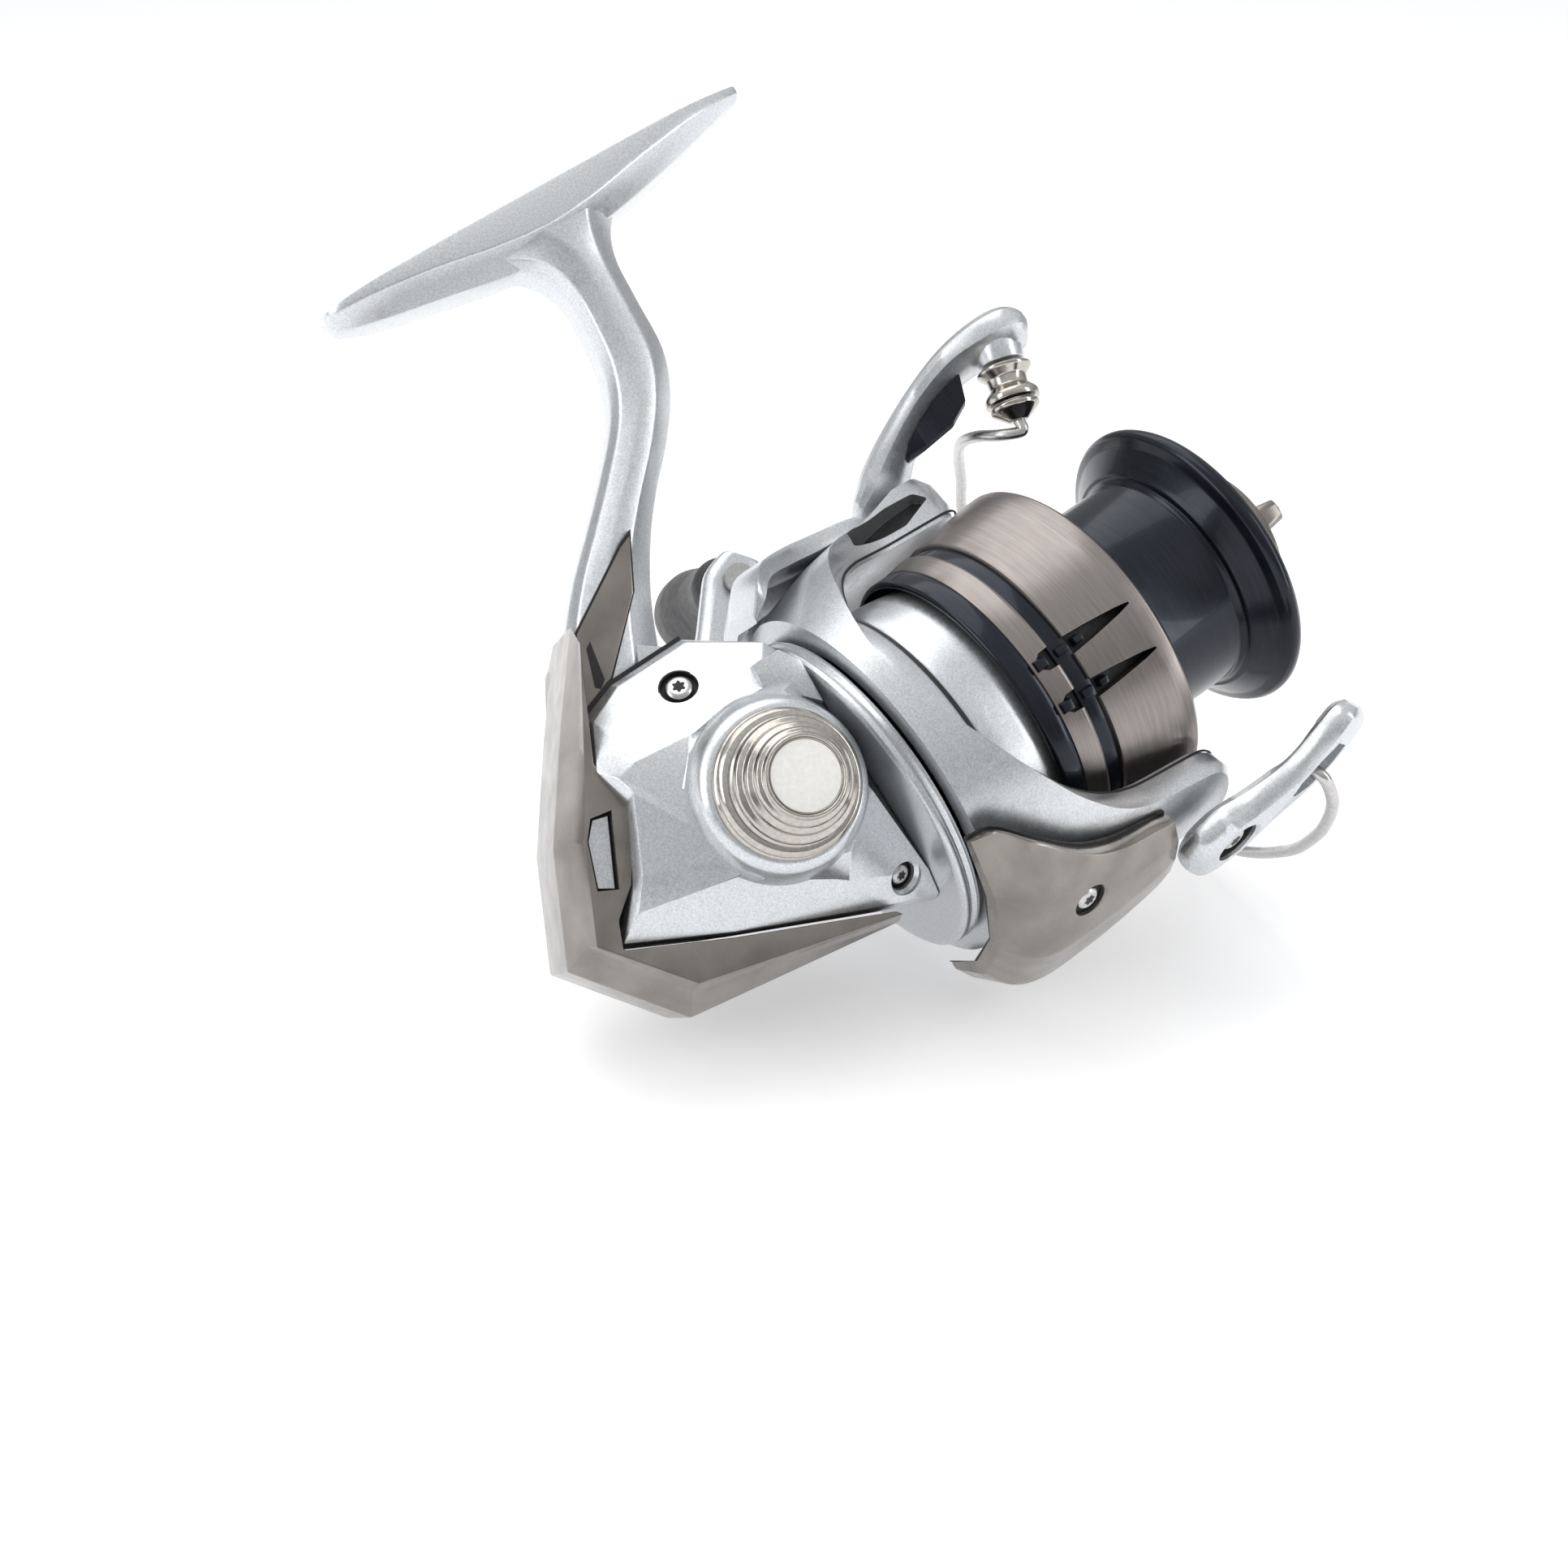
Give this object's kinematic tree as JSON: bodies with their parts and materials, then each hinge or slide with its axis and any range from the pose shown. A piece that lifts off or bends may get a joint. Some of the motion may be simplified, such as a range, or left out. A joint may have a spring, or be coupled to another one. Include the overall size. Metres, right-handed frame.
{
  "type": "spinning reel",
  "caption": "Spinning fishing reel with a rod foot, crank handle, turning rotor with folding bail, oscillating spool and front drag knob.",
  "frame": {"origin": "centre of the foot seat, the face that lies against the rod", "axes": "+X towards the front of the spool, +Y towards the handle side, +Z out of the foot seat towards the rod"},
  "size_m": [0.1274, 0.1123, 0.1409],
  "materials": {
    "silver_paint": "fine silver metallic paint",
    "taupe_metallic": "glossy warm grey metallic",
    "black_anodised": "gloss blue-black anodising",
    "bright_nickel": "polished nickel",
    "stainless_steel": "satin stainless",
    "gear_brass": "machined",
    "black_rubber": "matt black"
  },
  "bodies": {
    "frame": {"main_frame": "silver_paint", "side_cover": "silver_paint", "rear_guard": "taupe_metallic", "stem_inlay_right": "taupe_metallic", "stem_inlay_left": "taupe_metallic", "cover_screw_top": "stainless_steel", "cover_screw_front": "stainless_steel", "guard_screw": "stainless_steel", "cap_ring": "bright_nickel", "handle_cap": "bright_nickel", "gear_bearing_right": "stainless_steel", "gear_bearing_left": "stainless_steel", "pinion_bearing": "stainless_steel", "roller_clutch": "stainless_steel", "clutch_cover": "bright_nickel", "rotor_brake_ring": "black_rubber"},
    "drive": {"drive_shaft": "stainless_steel", "drive_gear": "gear_brass", "handle_hub": "bright_nickel", "handle_arm": "silver_paint", "knob_pin": "stainless_steel"},
    "knob": {"handle_knob": "black_rubber", "knob_cap": "bright_nickel"},
    "rotor": {"rotor": "silver_paint", "pinion_gear": "gear_brass", "clutch_sleeve": "stainless_steel", "rotor_nut": "bright_nickel", "arm_cover_upper": "taupe_metallic", "arm_cover_lower": "taupe_metallic", "arm_screw_upper": "stainless_steel", "arm_screw_lower": "stainless_steel", "bail_spring": "stainless_steel"},
    "bail": {"roller_lever": "silver_paint", "cam_lever": "silver_paint", "bail_wire": "stainless_steel", "bail_cone": "bright_nickel", "roller_screw": "stainless_steel", "pivot_screw_upper": "stainless_steel", "pivot_screw_lower": "stainless_steel"},
    "line_roller": {"line_roller": "bright_nickel"},
    "shaft": {"main_shaft": "stainless_steel", "oscillation_slider": "bright_nickel", "shaft_collar": "gear_brass", "drag_spring": "stainless_steel"},
    "spool": {"spool_core": "black_anodised", "spool_skirt": "taupe_metallic", "skirt_ring": "black_anodised", "line_clip": "black_anodised", "spool_bearing": "stainless_steel", "drag_washer_felt": "black_rubber", "drag_washer_metal": "stainless_steel", "drag_washer_top": "black_rubber", "drag_retainer": "stainless_steel"},
    "drag_knob": {"drag_knob": "taupe_metallic"},
    "drag_nut": {"drag_nut": "gear_brass"},
    "worm": {"worm_shaft": "stainless_steel", "worm_gear": "gear_brass"}
  },
  "joints": [
    {"name": "handle_spin", "type": "hinge", "parent": "frame", "child": "drive", "pos_m": [-0.023, 0, -0.08685], "axis": [0, 1, 0], "continuous": true},
    {"name": "handle_knob_spin", "type": "hinge", "parent": "drive", "child": "knob", "pos_m": [0.01071, 0, -0.05857], "axis": [0, 1, 0], "continuous": true},
    {"name": "rotor_spin", "type": "hinge", "parent": "frame", "child": "rotor", "pos_m": [0.007, 0, -0.0955], "axis": [1, 0, 0], "continuous": true},
    {"name": "worm_spin", "type": "hinge", "parent": "frame", "child": "worm", "pos_m": [-0.023, 0.0103, -0.0955], "axis": [1, 0, 0], "continuous": true},
    {"name": "bail_open", "type": "hinge", "parent": "rotor", "child": "bail", "pos_m": [0.028, 0, -0.0955], "axis": [0, -0.4848, -0.8746], "range_deg": [0, 90]},
    {"name": "line_roller_spin", "type": "hinge", "parent": "bail", "child": "line_roller", "pos_m": [0.049, 0.00224, -0.05764], "axis": [0.3513, 0.0946, 0.9315], "continuous": true},
    {"name": "spool_slide", "type": "slide", "parent": "frame", "child": "shaft", "axis": [1, 0, 0], "range_m": [-0.0075, 0.0075]},
    {"name": "drag_slip", "type": "hinge", "parent": "shaft", "child": "spool", "pos_m": [0.037, 0, -0.0955], "axis": [1, 0, 0], "continuous": true},
    {"name": "drag_knob_turn", "type": "hinge", "parent": "shaft", "child": "drag_knob", "pos_m": [0.059, 0, -0.0955], "axis": [1, 0, 0], "range_deg": [-720, 720]},
    {"name": "drag_nut_slide", "type": "slide", "parent": "shaft", "child": "drag_nut", "axis": [1, 0, 0], "range_m": [-0.0016, 0.0016]}
  ],
  "couplings": [
    {"joint": "rotor_spin", "follows": "handle_spin", "ratio": 6},
    {"joint": "worm_spin", "follows": "handle_spin", "ratio": -4.5},
    {"joint": "drag_nut_slide", "follows": "drag_knob_turn", "m_per_rad": 0.00012732}
  ]
}
